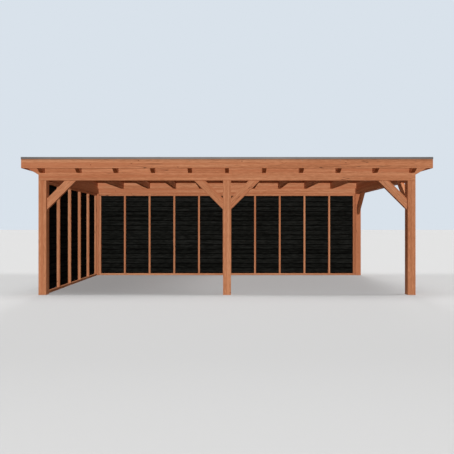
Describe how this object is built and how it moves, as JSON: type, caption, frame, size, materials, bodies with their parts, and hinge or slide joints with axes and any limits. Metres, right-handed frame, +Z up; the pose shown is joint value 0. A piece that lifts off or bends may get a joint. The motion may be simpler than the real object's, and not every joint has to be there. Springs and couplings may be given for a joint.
{
  "type": "carport",
  "caption": "Open flat-roofed timber carport: braced posts and ring beams, rafters with slanted tails, metal-trimmed fascia, black boarding on the back and left side.",
  "frame": {"origin": "ground level, at the middle of the roof's plan", "axes": "+X along the width with the boarded side at -X, open front towards -Y, +Z up"},
  "size_m": [7.374, 4.254, 2.5],
  "materials": {
    "timber": "planed, oiled",
    "deck_boards": "planed",
    "black_boards": "black stain",
    "membrane": "matt",
    "trim": "mill finish"
  },
  "bodies": {
    "root": {"front_left_post": "timber", "front_middle_post": "timber", "front_right_post": "timber", "back_left_post": "timber", "back_middle_post": "timber", "back_right_post": "timber", "front_ring_beam": "timber", "back_ring_beam": "timber", "left_ring_beam": "timber", "right_ring_beam": "timber", "front_left_brace": "timber", "front_middle_braces": "timber", "front_right_brace": "timber", "right_side_braces": "timber", "rafter_1": "timber", "rafter_2": "timber", "rafter_3": "timber", "rafter_4": "timber", "rafter_5": "timber", "rafter_6": "timber", "rafter_7": "timber", "rafter_8": "timber", "rafter_9": "timber", "rafter_10": "timber", "rafter_11": "timber", "front_blocking": "timber", "back_blocking": "timber", "long_upstands": "timber", "side_upstands": "timber", "front_fascia": "timber", "right_fascia": "timber", "back_fascia": "timber", "left_fascia": "timber", "back_wall_studs": "timber", "back_wall_plates": "timber", "left_wall_studs": "timber", "left_wall_plates": "timber", "roof_deck": "deck_boards", "roof_membrane": "membrane", "front_roof_trim": "trim", "right_roof_trim": "trim", "back_roof_trim": "trim", "left_roof_trim": "trim", "back_wall_cladding": "black_boards", "left_wall_cladding": "black_boards"}
  },
  "joints": []
}
